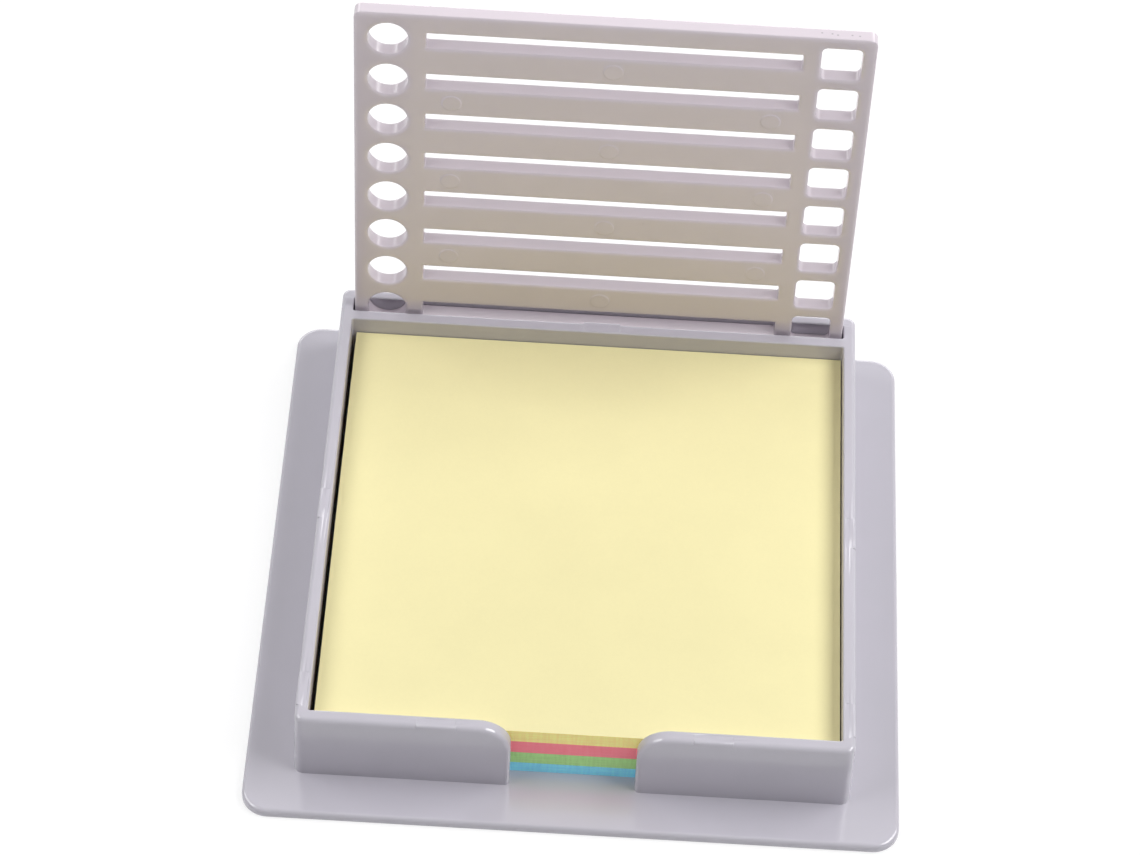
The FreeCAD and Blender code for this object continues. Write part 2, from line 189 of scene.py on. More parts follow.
# %% Softboxes
def add_softbox(name, bearing, height_angle, distance, width, height, brightness):
    """An area lamp that looks at the holder. The bearing is in degrees, nought to the right and ninety to
    the back, and the brightness is that of its face."""
    lamp = bpy.data.lights.new(name, "AREA")
    lamp.shape = "RECTANGLE"
    lamp.size = width
    lamp.size_y = height
    lamp.energy = brightness * math.pi * width * height
    across = math.cos(math.radians(height_angle)) * distance
    place = Vector((math.cos(math.radians(bearing)) * across, math.sin(math.radians(bearing)) * across,
                    math.sin(math.radians(height_angle)) * distance))
    lamp_object = bpy.data.objects.new(name, lamp)
    lamp_object.location = place
    lamp_object.rotation_euler = (-place).to_track_quat("-Z", "Y").to_euler()
    lamp_object.visible_camera = False
    scene.collection.objects.link(lamp_object)
    print(name, "gives", round(lamp.energy, 2), "W")


add_softbox("softbox_right", 0, 51, 1.2, 1.1, 0.65, 5.9)
add_softbox("softbox_left", 180, 48, 1.2, 1.1, 0.65, 3.5)
add_softbox("backdrop_light", 90, 20, 1.4, 2.0, 0.75, 2.5)
add_softbox("softbox_front", 270, 72, 1.2, 0.7, 0.5, 0.3)

# %% [markdown]
# ## The table
#
# The table is white card. It sends light back into the tray's sides like any pale surface, keeps the
# faint shadow where the plate meets it, and shows the camera the clean white of the picture. That last
# part is done in its material, for camera rays only, so the object isn't lit by it.

# %% Table
table_half = 1.2
table_own_share = 0.30
table_shine = 1.12

table_material, table_tree = start_material("white_card")
card = add_node(table_tree, "BsdfDiffuse", "BSDF", Color=opaque(0.86, 0.86, 0.87), Roughness=0.5)
glow = add_node(table_tree, "Emission", "Emission", Color=opaque(1.0, 1.0, 1.0), Strength=table_shine)
table_rays = add_node(table_tree, "LightPath", None)
table_shown = calculate(table_tree, "MAXIMUM", table_rays.outputs["Is Camera Ray"],
                        table_rays.outputs["Is Glossy Ray"])
table_share = calculate(table_tree, "MULTIPLY", table_shown, 1.0 - table_own_share)
table_mix = table_tree.nodes.new("ShaderNodeMixShader")
table_tree.links.new(table_share, table_mix.inputs[0])
table_tree.links.new(card, table_mix.inputs[1])
table_tree.links.new(glow, table_mix.inputs[2])
table_output = table_tree.nodes.new("ShaderNodeOutputMaterial")
table_tree.links.new(table_mix.outputs[0], table_output.inputs["Surface"])

table_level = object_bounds()[0][2] - 0.02 * mm
corners = np.array([(-1, -1, 0), (1, -1, 0), (1, 1, 0), (-1, 1, 0)]) * table_half
corners[:, 2] = table_level
table_mesh = bpy.data.meshes.new("table")
table_mesh.from_pydata(corners, [], [(0, 1, 2, 3)])
table = bpy.data.objects.new("table", table_mesh)
table_mesh.materials.append(table_material)
scene.collection.objects.link(table)
print("table at", round(table_level / mm, 3), "mm")

# %% [markdown]
# ## The moulded plastic
#
# Tray and stencil are the same light lavender-grey polystyrene, satin from a finely blasted mould. Its
# colour is nearly even. What makes it look real is small: a faint cloudiness, a grain that is much finer
# than a millimetre and breaks the highlight, a few dust specks, and some nicks on the stencil's top edge. A
# picture could be wrapped on, but a pattern worked out from the place needs no seams. The patterns read
# Object coordinates, in metres, so their scales are waves per metre.

# %% Plastic
dust_strength = 0.45
nick_strength = 0.55
nick_radius = 0.2 * mm


def nicks(tree, place, centres, radius):
    """How much small dark nicks cover a place: one within half a nick's radius, none outside of it."""
    cover = 0.0
    for centre in centres:
        opposite = tuple(-part for part in centre)
        from_centre = add_node(tree, "Mapping", "Vector", Vector=place, Location=opposite)
        distance = add_node(tree, "VectorMath", "Value", {"operation": "LENGTH"}, Vector=from_centre)
        cover = calculate(tree, "MAXIMUM", cover, remap(tree, distance, radius / 2, radius, 1.0, 0.0))
    return cover


def make_plastic(name, colour, roughness, grain_height, seed, nick_places=()):
    """Satin plastic: a colour with cloudiness and specks, uneven roughness, and a fine grain as bump."""
    material, tree = start_material(name)
    place = add_node(tree, "TexCoord", "Object")
    clouds = add_node(tree, "TexNoise", "Fac", {"noise_dimensions": "4D"}, Vector=place, W=seed,
                      Scale=60.0, Detail=3.0, Roughness=0.6)
    darker = opaque(*(part * 0.975 for part in colour))
    lighter = opaque(colour[0] * 1.02, colour[1] * 1.012, colour[2] * 1.02)
    body = blend_colours(tree, remap(tree, clouds, 0.25, 0.75, 0.0, 1.0), darker, lighter)
    cells = add_node(tree, "TexVoronoi", "Distance", {"voronoi_dimensions": "3D", "feature": "F1"},
                     Vector=place, Scale=105.0, Randomness=1.0)
    rare = add_node(tree, "TexNoise", "Fac", Vector=place, Scale=47.0, Detail=0.0)
    speck = calculate(tree, "MULTIPLY", remap(tree, cells, 0.012, 0.022, 1.0, 0.0),
                      remap(tree, rare, 0.60, 0.62, 0.0, 1.0))
    nicked = nicks(tree, place, nick_places, nick_radius)
    speck = calculate(tree, "MAXIMUM", calculate(tree, "MULTIPLY", speck, dust_strength),
                      calculate(tree, "MULTIPLY", nicked, nick_strength))
    body = blend_colours(tree, speck, body, opaque(0.25, 0.24, 0.25))
    grain = add_node(tree, "TexNoise", "Fac", Vector=place, Scale=5200.0, Detail=2.0, Roughness=0.6)
    swell = add_node(tree, "TexNoise", "Fac", Vector=place, Scale=140.0, Detail=1.0)
    uneven = remap(tree, swell, 0.2, 0.8, roughness - 0.02, roughness + 0.02)
    fine = add_node(tree, "Bump", "Normal", Height=grain, Distance=grain_height, Strength=0.15)
    bump = add_node(tree, "Bump", "Normal", Height=swell, Distance=0.02 * mm, Strength=0.25, Normal=fine)
    surface = add_node(tree, "BsdfPrincipled", "BSDF", Base_Color=body, Roughness=uneven, Normal=bump,
                       IOR=1.59, Specular_IOR_Level=0.74)
    output = tree.nodes.new("ShaderNodeOutputMaterial")
    tree.links.new(surface, output.inputs["Surface"])
    return material


tray_plastic = make_plastic("tray_satin_plastic", (0.510, 0.493, 0.550), 0.14, 0.004 * mm, 1.0)
top_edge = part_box("stencil_plate")[1]
nicks_along_and_in = np.array([(29.9, 1.0), (31.4, 1.1), (32.2, 1.3), (34.3, 1.2), (35.4, 1.3)]) * mm
nick_places = [(along, top_edge.y - inward, top_edge.z) for along, inward in nicks_along_and_in]
# Painted light: the stencil is the same plastic as the tray, but its colour is set lighter and a little
# warmer, a lit copy of the tray's plastic that stands in for extra light on the stencil.
stencil_lightened_plastic = make_plastic("stencil_polystyrene_painted_lighter", (0.663, 0.596, 0.650), 0.16, 0.004 * mm, 7.0,
                               nick_places)
print("plastics:", tray_plastic.name, stencil_lightened_plastic.name)

# %% [markdown]
# ## From arrays to a mesh
#
# Every shape below is a set of grids of points. A band is a stack of closed loops, and a patch is an open
# grid. Their quads are worked out from the row and column numbers alone. Where two grids meet they have
# the same points on the shared edge, so merging doubles closes the skin.

# %% Mesh helpers
def band(loops):
    """Points and quads of a stack of closed loops: each loop is joined to the next, and its own end to
    its start."""
    rows, columns = loops.shape[:2]
    number = np.arange(rows * columns).reshape(rows, columns)
    after = np.roll(number, -1, axis=1)
    quads = np.stack([number[:-1], after[:-1], after[1:], number[1:]], axis=-1)
    return loops.reshape(-1, 3), quads.reshape(-1, 4)


def patch(grid):
    """Points and quads of an open grid of points."""
    rows, columns = grid.shape[:2]
    number = np.arange(rows * columns).reshape(rows, columns)
    quads = np.stack([number[:-1, :-1], number[:-1, 1:], number[1:, 1:], number[1:, :-1]], axis=-1)
    return grid.reshape(-1, 3), quads.reshape(-1, 4)


def make_piece(name, grids, materials, merge=1e-7, sharp=math.radians(38)):
    """Joins grids into one closed skin: the points are merged where grids meet, and faces turned outwards."""
    points = np.concatenate([item[0] for item in grids])
    starts = np.cumsum([0] + [len(item[0]) for item in grids[:-1]])
    quads = np.concatenate([item[1] + start for item, start in zip(grids, starts)])
    mesh = bpy.data.meshes.new(name)
    mesh.from_pydata(points, [], quads)
    skin = bmesh.new()
    skin.from_mesh(mesh)
    bmesh.ops.remove_doubles(skin, verts=skin.verts, dist=merge)
    bmesh.ops.dissolve_degenerate(skin, edges=skin.edges, dist=merge * 0.1)
    bmesh.ops.recalc_face_normals(skin, faces=skin.faces)
    open_edges = sum(1 for edge in skin.edges if not edge.is_manifold)
    skin.to_mesh(mesh)
    skin.free()
    mesh.shade_smooth()
    mesh.set_sharp_from_angle(angle=sharp)
    for material in materials:
        mesh.materials.append(material)
    piece = bpy.data.objects.new(name, mesh)
    scene.collection.objects.link(piece)
    triangles = sum(len(face.vertices) - 2 for face in mesh.polygons)
    print(name, "has", triangles, "triangles and", open_edges, "open edges")
    return piece


def compare_boxes(piece, node):
    """Prints how far a piece's box lies inside the box of the solid that it stands for, in millimetres."""
    spots = np.empty(len(piece.data.vertices) * 3)
    piece.data.vertices.foreach_get("co", spots)
    spots = spots.reshape(-1, 3)
    low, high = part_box(node)
    inside_low = (spots.min(axis=0) - np.array(low)) / mm
    inside_high = (np.array(high) - spots.max(axis=0)) / mm
    print(piece.name, "inside by", np.round(inside_low, 3), np.round(inside_high, 3))


# %% [markdown]
# ## The stencil
#
# The stencil is one flat moulding with nine rows, each with a circle, a long slot and a rounded square to
# draw through. Seen close, its bars aren't flat up to the edge: the face swells down into each opening
# over half a millimetre, which is why each slot has a soft bright line below it. That swell is a quarter
# of an ellipse. A bevel modifier on a cut plate could make it, but its corners tear where an arc meets
# a straight. Here every opening is a stack of loops that runs from its cell's border to the outline, over
# the swell, through the plate and back out over the back face. All loops of a cell have the same number of
# points, so they join into clean quads, and cells share their border points with their neighbours.

# %% Stencil sizes
stencil_low, stencil_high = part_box("stencil_plate")
stencil_half_width = (stencil_high.x - stencil_low.x) / 2
stencil_height = 74.4 * mm
stencil_thickness = 2.3 * mm
stencil_corner = 1.2 * mm
row_count = 9
row_pitch = 8.04 * mm
top_row = 69.4 * mm
middle_row = top_row - row_pitch * (row_count - 1) / 2
lean = math.atan(0.19 / 12.5)
foot_back = 42.79 * mm
foot_level = 1.62 * mm

swell_width = 0.60 * mm
swell_depth = 0.25 * mm
edge_swell_width = 0.60 * mm
edge_swell_depth = 0.25 * mm
back_rounding = 0.10 * mm
wall_depths = [stencil_thickness - swell_depth - 0.08 * mm, back_rounding + 0.06 * mm]

circle_centre = -33.15 * mm
square_centre = 33.15 * mm
cell_half_width = 3.9 * mm
slot_cell_half_width = abs(circle_centre) - cell_half_width
slot_cell_half_height = 2.35 * mm
mark_radius = 1.45 * mm
mark_height = 0.08 * mm
mark_cell_half = row_pitch / 2 - slot_cell_half_height
mark_offset = 23.65 * mm
print("lean of the stencil:", round(math.degrees(lean), 2), "degrees")

# %% Lines that the cells share
bar_steps = 8
slot_steps = 8
half_pitch = row_pitch / 2
cell_rows = np.concatenate([
    np.linspace(-half_pitch, -slot_cell_half_height, bar_steps + 1)[:-1],
    np.linspace(-slot_cell_half_height, slot_cell_half_height, slot_steps + 1)[:-1],
    np.linspace(slot_cell_half_height, half_pitch, bar_steps + 1)])
slot_rows = np.linspace(-slot_cell_half_height, slot_cell_half_height, slot_steps + 1)
hole_columns = np.linspace(-cell_half_width, cell_half_width, len(cell_rows))


def stretches(*ends_and_steps):
    """Evenly spaced lines over several stretches in a row: start, steps, next place, steps, and so on."""
    lines = [np.linspace(start, end, steps + 1)[:-1]
             for start, steps, end in zip(ends_and_steps[:-2:2], ends_and_steps[1::2], ends_and_steps[2::2])]
    return np.concatenate(lines + [[ends_and_steps[-1]]])


mark_steps = 2 * bar_steps
bar_columns = stretches(
    -slot_cell_half_width, 3, -mark_offset - mark_cell_half, mark_steps, -mark_offset + mark_cell_half, 8,
    -mark_cell_half, mark_steps, mark_cell_half, 8, mark_offset - mark_cell_half, mark_steps,
    mark_offset + mark_cell_half, 3, slot_cell_half_width)
print("lines across a slot cell:", len(bar_columns), "and up a row:", len(cell_rows))

# %% Loops of an opening
def outline_side(lines, half_along, half_across, corner, turn_steps):
    """One side of a rounded rectangle, from the middle of one corner to the middle of the next.
    The first and last points turn through half a corner each. Those between stand along the straight
    part, spaced in the same proportions as the lines that they are joined to."""
    count = len(lines) - 1
    angle = np.radians(np.interp(np.arange(count + 1), [0, turn_steps, count - turn_steps, count],
                                 [135, 90, 90, 45]))
    last_line = max(abs(lines[count - turn_steps]), 1e-9)
    centre = np.clip(lines / last_line, -1, 1) * (half_along - corner)
    return centre + corner * np.cos(angle), half_across - corner + corner * np.sin(angle)


def close_loop(top, side):
    """A loop from its top side and its right side: the other two are the same, turned by half a turn."""
    across, up = top
    along, out = side
    x = np.concatenate([across[:-1], out[:-1], -across[:-1], -out[:-1]])
    y = np.concatenate([up[:-1], -along[:-1], -up[:-1], along[:-1]])
    return np.stack([x, y], axis=-1)


def outline_loop(columns, rows, half_width, half_height, corner, turns):
    """A rounded rectangle. A circle is one whose corner is as large as its half side."""
    return close_loop(outline_side(columns, half_width, half_height, corner, turns[0]),
                      outline_side(rows, half_height, half_width, corner, turns[1]))


def border_loop(columns, rows):
    """The plain rectangle round a cell, with a point on each of its lines."""
    return close_loop((columns, np.full(len(columns), rows[-1])), (rows, np.full(len(rows), columns[-1])))


def lift(loop, depth):
    """Puts a flat loop at a depth between the plate's back face, nought, and its front face."""
    return np.column_stack([loop, np.full(len(loop), depth)])


quarter = np.radians([0, 18, 34, 48, 60, 70, 78, 84, 90])


def opening_cell(columns, rows, half_width, half_height, corner, turns):
    """The skin of one opening's cell, front to back. The swell is a quarter of an ellipse: at an angle a
    the loop stands out from the outline by width times (1 - sin a), and lies depth times (1 - cos a)
    below the face. The plain wall follows, with a loop close to each end so that its shading stays that
    of a flat wall, then a small rounding and the back face."""
    def widened(reach):
        return outline_loop(columns, rows, half_width + reach, half_height + reach, corner + reach, turns)

    loops = [lift(border_loop(columns, rows), stencil_thickness)]
    loops += [lift(widened(swell_width * (1 - math.sin(a))),
                   stencil_thickness - swell_depth * (1 - math.cos(a))) for a in quarter]
    loops += [lift(widened(0.0), depth) for depth in wall_depths]
    loops += [lift(widened(back_rounding * (1 - math.cos(a))), back_rounding * (1 - math.sin(a)))
              for a in np.radians([0, 30, 60, 90])]
    loops.append(lift(border_loop(columns, rows), 0.0))
    return np.stack(loops)


circle_cell = opening_cell(hole_columns, cell_rows, 3.0 * mm, 3.0 * mm, 3.0 * mm, (12, 12))
square_cell = opening_cell(hole_columns, cell_rows, 3.0 * mm, 3.0 * mm, 0.9 * mm, (6, 6))
slot_cell = opening_cell(bar_columns, slot_rows, 27.55 * mm, 1.45 * mm, 0.15 * mm, (2, 2))
for shape, cell in (("circle", circle_cell), ("square", square_cell), ("slot", slot_cell)):
    print("a", shape, "has", cell.shape[0], "loops of", cell.shape[1], "points")

# %% [markdown]
# Where the ejector pins pushed the plate out of its mould, they left shallow round marks on the bars, by
# turns one in the middle and one at each side. Each stands not quite a tenth of a millimetre proud. It is
# a cell as well: from its square border in to a circle, up a soft step, and on to the middle.

# %% Ejector marks
def mark_cell():
    """A round mark in a square cell: loops at shrinking radii, raised by a soft step at the mark's rim."""
    lines = np.linspace(-mark_cell_half, mark_cell_half, mark_steps + 1)
    step = 0.07 * mm
    radii = np.array([step, step / 2, 0.0, -step / 2, -step, -0.3 * mm, -0.8 * mm, -1.3 * mm]) + mark_radius
    radii = np.append(radii, 0.0)
    rise = mark_height * 0.5 * (1 + np.sin(np.clip((mark_radius - radii) / step, -1, 1) * math.pi / 2))
    loops = [lift(border_loop(lines, lines), stencil_thickness)]
    loops += [lift(outline_loop(lines, lines, radius, radius, radius, (mark_steps // 2, mark_steps // 2)),
                   stencil_thickness + height) for radius, height in zip(radii, rise)]
    return np.stack(loops)


def marks_below(row):
    """Places of the marks on the bar below a row, in turns: one in the middle, then one at each side."""
    if row >= row_count - 1:
        return []
    return [0.0] if row % 2 == 0 else [-mark_offset, mark_offset]


one_mark = mark_cell()
print("mark stands", mark_height / mm, "mm proud, with", len(one_mark), "loops")

# %% Bars between the slots
def flat_patch(columns, rows, depth):
    """A flat stretch of face over some lines, at one depth."""
    x, y = np.meshgrid(columns, rows)
    return patch(np.stack([x, y, np.full(x.shape, depth)], axis=-1))


def shifted(grid, x, y):
    """A grid of points moved across and up the plate."""
    return grid + np.array([x, y, 0.0])


def bar_grids(low, high, steps, marks):
    """A bar's front and back face. A stretch that holds a mark gives way to the mark's own cell."""
    rows = np.linspace(low, high, steps + 1)
    grids = [flat_patch(bar_columns, rows, 0.0)]
    start = 0
    for mark in marks:
        first = int(np.argmin(abs(bar_columns - (mark - mark_cell_half))))
        if first > start:
            grids.append(flat_patch(bar_columns[start:first + 1], rows, stencil_thickness))
        grids.append(band(shifted(one_mark, mark, (low + high) / 2)))
        start = first + mark_steps
    grids.append(flat_patch(bar_columns[start:], rows, stencil_thickness))
    return grids


# %% Frame round the cells
def frame_band():
    """The plate's rim, from the cells' shared border out over the front edge, down the side and back."""
    rows = np.concatenate([cell_rows[:-1] + row_pitch * (index - (row_count - 1) / 2)
                           for index in range(row_count)] + [[row_pitch * row_count / 2]])
    columns = np.concatenate([hole_columns[:-1] + circle_centre, bar_columns[:-1],
                              hole_columns + square_centre])
    half_height = stencil_height / 2
    shift = half_height - middle_row

    def narrowed(inset):
        loop = outline_loop(columns, rows, stencil_half_width - inset, half_height - inset,
                            stencil_corner - inset, (4, 4))
        return loop + np.array([0.0, shift])

    loops = [lift(border_loop(columns, rows), stencil_thickness)]
    loops += [lift(narrowed(edge_swell_width * (1 - math.sin(a))),
                   stencil_thickness - edge_swell_depth * (1 - math.cos(a))) for a in quarter]
    loops += [lift(narrowed(0.0), stencil_thickness - edge_swell_depth - 0.08 * mm),
              lift(narrowed(0.0), edge_swell_depth + 0.08 * mm)]
    loops += [lift(narrowed(edge_swell_depth * (1 - math.cos(a))), edge_swell_depth * (1 - math.sin(a)))
              for a in np.radians([0, 22, 45, 68, 90])]
    loops.append(lift(border_loop(columns, rows), 0.0))
    return band(np.stack(loops))


# %% Stencil mesh
def lean_back(points):
    """Stands the flat plate in its slot: up the plate is mostly Z, and its face looks at the notes."""
    x, up, out = points.T
    up = up + middle_row
    return np.column_stack([x, foot_back + up * math.sin(lean) - out * math.cos(lean),
                            foot_level + up * math.cos(lean) + out * math.sin(lean)])


stencil_grids = [frame_band()]
for row in range(row_count):
    height = row_pitch * ((row_count - 1) / 2 - row)
    stencil_grids.append(band(shifted(circle_cell, circle_centre, height)))
    stencil_grids.append(band(shifted(square_cell, square_centre, height)))
    stencil_grids.append(band(shifted(slot_cell, 0.0, height)))
    if row < row_count - 1:
        stencil_grids += bar_grids(height - row_pitch + slot_cell_half_height, height - slot_cell_half_height,
                                   2 * bar_steps, marks_below(row))
reach = row_pitch * row_count / 2
stencil_grids += bar_grids(reach - mark_cell_half, reach, bar_steps, [])
stencil_grids += bar_grids(-reach, -reach + mark_cell_half, bar_steps, [])
stencil_grids = [(lean_back(points), quads) for points, quads in stencil_grids]
stencil = make_piece("stencil", stencil_grids, [stencil_lightened_plastic])
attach(stencil, "root")
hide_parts("stencil_plate")
compare_boxes(stencil, "stencil_plate")

# %% [markdown]
# ## Paper
#
# The notes are uncoated paper: matt, a little cloudy, with fibres that run every way. The edge of a pad is
# another surface altogether. It is the guillotine's cut through a stack of sheets, with each sheet a hair
# in or out, and slanting streaks where the blade dragged. The top sheet is a pale cream, and the cut edges
# are deeper in colour. An edge that faces the front also gets a weak painted glow of its own colour, an
# emission that stands in for light and isn't something the paper does. Without it the finger gap is much
# duller than the real one.

# %% Paper materials
# Strength of the painted glow, an emission of the edge colour, on pad edges that face the front.
front_edge_painted_glow = 0.17


def make_paper(name, face_colour, edge_colour, seed):
    """Paper with fibres on its faces. On upright sides the edge colour takes over, with the stack's
    layers as thin level streaks and the blade's drag as slanting ones."""
    material, tree = start_material(name)
    place = add_node(tree, "TexCoord", "Object")
    normal = add_node(tree, "NewGeometry", "Normal")
    level = add_node(tree, "SeparateXYZ", "Z", Vector=normal)
    upright = remap(tree, calculate(tree, "ABSOLUTE", level), 0.35, 0.65, 1.0, 0.0)
    forward = add_node(tree, "SeparateXYZ", "Y", Vector=normal)
    # Painted glow: edges whose normals face the front, towards the camera, emit a little of their own colour
    # in place of light.
    painted_glow_front_share = remap(tree, forward, -0.8, -0.4, front_edge_painted_glow, 0.0)

    clouds = add_node(tree, "TexNoise", "Fac", {"noise_dimensions": "4D"}, Vector=place, W=seed,
                      Scale=90.0, Detail=4.0, Roughness=0.65)
    fibres = add_node(tree, "TexNoise", "Fac", Vector=place, Scale=1900.0, Detail=3.0, Roughness=0.7,
                      Distortion=1.2)
    pulp = calculate(tree, "ADD", calculate(tree, "MULTIPLY", clouds, 0.6),
                     calculate(tree, "MULTIPLY", fibres, 0.4))
    dim_face = opaque(*(part * 0.975 for part in face_colour))
    face = blend_colours(tree, remap(tree, pulp, 0.40, 0.60, 0.0, 1.0), dim_face, opaque(*face_colour))

    layers = add_node(tree, "Mapping", "Vector", Vector=place, Scale=(260.0, 260.0, 9000.0))
    layer_noise = add_node(tree, "TexNoise", "Fac", Vector=layers, Scale=1.0, Detail=2.0, Roughness=0.6)
    slant = add_node(tree, "Mapping", "Vector", {"vector_type": "POINT"}, Vector=place,
                     Rotation=(math.radians(38), math.radians(-38), 0.0), Scale=(2400.0, 2400.0, 260.0))
    slant_noise = add_node(tree, "TexNoise", "Fac", Vector=slant, Scale=1.0, Detail=2.0, Roughness=0.5)
    streaks = calculate(tree, "ADD", calculate(tree, "MULTIPLY", layer_noise, 0.55),
                        calculate(tree, "MULTIPLY", slant_noise, 0.45))
    dim_edge = opaque(*(part * 0.87 for part in edge_colour))
    light_edge = opaque(*(min(part * 1.06, 0.98) for part in edge_colour))
    edge = blend_colours(tree, remap(tree, streaks, 0.36, 0.64, 0.0, 1.0), dim_edge, light_edge)
    colour = blend_colours(tree, upright, face, edge)
    painted_glow_colour = blend_colours(tree, painted_glow_front_share, opaque(0, 0, 0), edge)

    fine = add_node(tree, "Bump", "Normal", Height=fibres, Distance=0.01 * mm, Strength=0.35)
    rough = calculate(tree, "MULTIPLY", streaks, upright)
    bump = add_node(tree, "Bump", "Normal", Height=rough, Distance=0.04 * mm, Strength=0.5, Normal=fine)
    surface = add_node(tree, "BsdfPrincipled", "BSDF", Base_Color=colour, Roughness=0.9, Normal=bump,
                       Specular_IOR_Level=0.2, Emission_Color=painted_glow_colour, Emission_Strength=1.0)
    output = tree.nodes.new("ShaderNodeOutputMaterial")
    tree.links.new(surface, output.inputs["Surface"])
    return material


papers = {
    "yellow": make_paper("yellow_notes", (0.840, 0.772, 0.434), (0.96, 0.82, 0.32), 1.0),
    "pink": make_paper("pink_notes", (0.90, 0.30, 0.35), (0.94, 0.27, 0.32), 2.0),
    "green": make_paper("green_notes", (0.50, 0.80, 0.34), (0.43, 0.71, 0.29), 3.0),
    "blue": make_paper("blue_notes", (0.27, 0.72, 0.90), (0.27, 0.74, 0.94), 4.0),
}
print("papers:", list(papers))

# %% [markdown]
# ## The pads
#
# A pad is a stack of some two dozen square sheets. The cut is clean, but no two sheets end at quite the
# same place, so the side is a grid whose rows come in pairs, one pair to a sheet, and each pair is moved in
# or out by its own small random step plus a slow wave along the edge. The same seed gives the same pad on
# every run. The faces are grids too, so the top sheet can lie a little wavy.

# %% Pads
sheet_thickness = 0.1 * mm
edge_points = 48
uneven_step = 0.020 * mm
uneven_wave = 0.035 * mm
random = np.random.default_rng(20)


def pad_side(low, high, level_low, level_high):
    """The four sides of a pad as one band. Each sheet's outline is a square, drawn in by its own
    amount, less a slow wave along the edge: in = step + wave * (1 + sin(place + phase)) / 2."""
    sheets = int(round((level_high - level_low) / sheet_thickness))
    levels = np.repeat(np.linspace(level_low, level_high, sheets + 1), 2)[1:-1]
    way = np.linspace(0, 1, edge_points + 1)[:-1]
    square = np.concatenate([np.column_stack([way, way * 0]), np.column_stack([way * 0 + 1, way]),
                             np.column_stack([1 - way, way * 0 + 1]), np.column_stack([way * 0, 1 - way])])
    outline = low + square * (high - low)
    middle = (low + high) / 2
    outward = np.sign(np.round((outline - middle) / (high - low), 6)) * (
        abs(outline - middle) / (high - low) > 0.4999)
    turn = np.linspace(0, 2 * math.pi, len(outline), endpoint=False)
    inset = random.uniform(0, uneven_step, sheets)
    phase = random.uniform(0, 2 * math.pi, sheets) * 0.25
    wave = 0.5 + 0.5 * np.sin(3 * turn[None, :] + phase[:, None])
    drawn = np.repeat(inset[:, None] + uneven_wave * wave * random.uniform(0.3, 1.0, (sheets, 1)), 2, axis=0)
    flat = outline[None, :, :] - outward[None, :, :] * drawn[:, :, None]
    heights = np.broadcast_to(levels[:, None, None], flat.shape[:2] + (1,))
    return np.concatenate([flat, heights], axis=-1)


def pad_face(loop):
    """A face that fills a square loop: each inner point lies between the four edges, as on a stretched
    cloth, so the grid takes up the edge's small waves (a Coons patch)."""
    count = len(loop) // 4
    ring = np.vstack([loop, loop[:1]])
    south, east = ring[:count + 1], ring[count:2 * count + 1]
    north, west = ring[2 * count:3 * count + 1][::-1], ring[3 * count:4 * count + 1][::-1]
    u = np.linspace(0, 1, count + 1)[None, :, None]
    v = np.linspace(0, 1, count + 1)[:, None, None]
    ruled = (1 - v) * south[None] + v * north[None] + (1 - u) * west[:, None] + u * east[:, None]
    corners = ((1 - v) * ((1 - u) * south[0] + u * south[-1]) + v * ((1 - u) * north[0] + u * north[-1]))
    return ruled - corners


for colour in ("blue", "green", "pink", "yellow"):
    node = "pad_" + colour
    low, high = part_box(node)
    side = pad_side(np.array(low[:2]), np.array(high[:2]), low.z, high.z)
    pad = make_piece("notes_" + colour, [band(side), patch(pad_face(side[0])), patch(pad_face(side[-1]))],
                     [papers[colour]])
    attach(pad, "root")
    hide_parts(node)
    compare_boxes(pad, node)

# %% [markdown]
# ## The tray
#
# The tray is one moulding: a thin plate, a low box on it, and inside the box a well for the notes and a
# narrow slot for the stencil. Seen from above no surface hides another, so its whole upper skin can be one
# sheet of points over crossing lines, like a cloth laid over the tray. Each line carries the height that
# the plate, the box, the well and the slot allow on it. Where two lines cross, the sheet's height is the
# least of those that stand, and the greatest of those that are hollow. An upright wall is two lines at the
# same place with other heights. The mould's draft, its rounded rims and the blade marks of its ejectors
# are then just more lines.

# %% Tray sizes
tray_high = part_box("tray")[1]
plate_half_x = tray_high.x
plate_half_y = tray_high.y
plate_level = 1.6 * mm
plate_corner = 4.0 * mm
plate_rounding = 0.6 * mm
foot_bevel = 0.3 * mm
wall_height = 12.5 * mm
rim_level = plate_level + wall_height
draft_slope = math.tan(math.radians(1.0))
draft_run = wall_height * draft_slope
rim_rounding = 0.7 * mm
hollow_rounding = 0.25 * mm
box_corner = 1.5 * mm
hollow_corner = 0.3 * mm

well_half = 38.4 * mm
foot_side = well_half + 1.88 * mm + draft_run
foot_front = 7.15 * mm - plate_half_y
well_front = foot_front + draft_run + 1.98 * mm
well_back = well_front + 76.6 * mm
slot_front = well_back + 1.85 * mm
slot_back = slot_front + 2.75 * mm
foot_rear = slot_back + 1.85 * mm + draft_run

gap_half = 9.1 * mm
gap_radius = 4.8 * mm
gap_reach = gap_half + gap_radius
gate_radius = 3.0 * mm
gate_depth = 0.4 * mm
stub_radius = 0.7 * mm
stub_height = 0.25 * mm

blade_depth = 0.07 * mm
blade_slope = 0.08 * mm
blade_rounding_share = 0.5
flash_reach = 0.36 * mm
witness_depth = 0.05 * mm
witness_width = 0.07 * mm
print("rim at", round(rim_level / mm, 2), "mm")
print("well from", round(well_front / mm, 2), "to", round(well_back / mm, 2), "mm")

# %% [markdown]
# A line is one row of numbers: its place, the heights that the four features allow on it, and, for the
# finger gap, the crest of the front wall there with the direction that looks out of the material. Most
# lines limit nothing, so that is the default. The far side of the tray is the near side in a mirror.

# %% Lines across the tray
free = 1.0


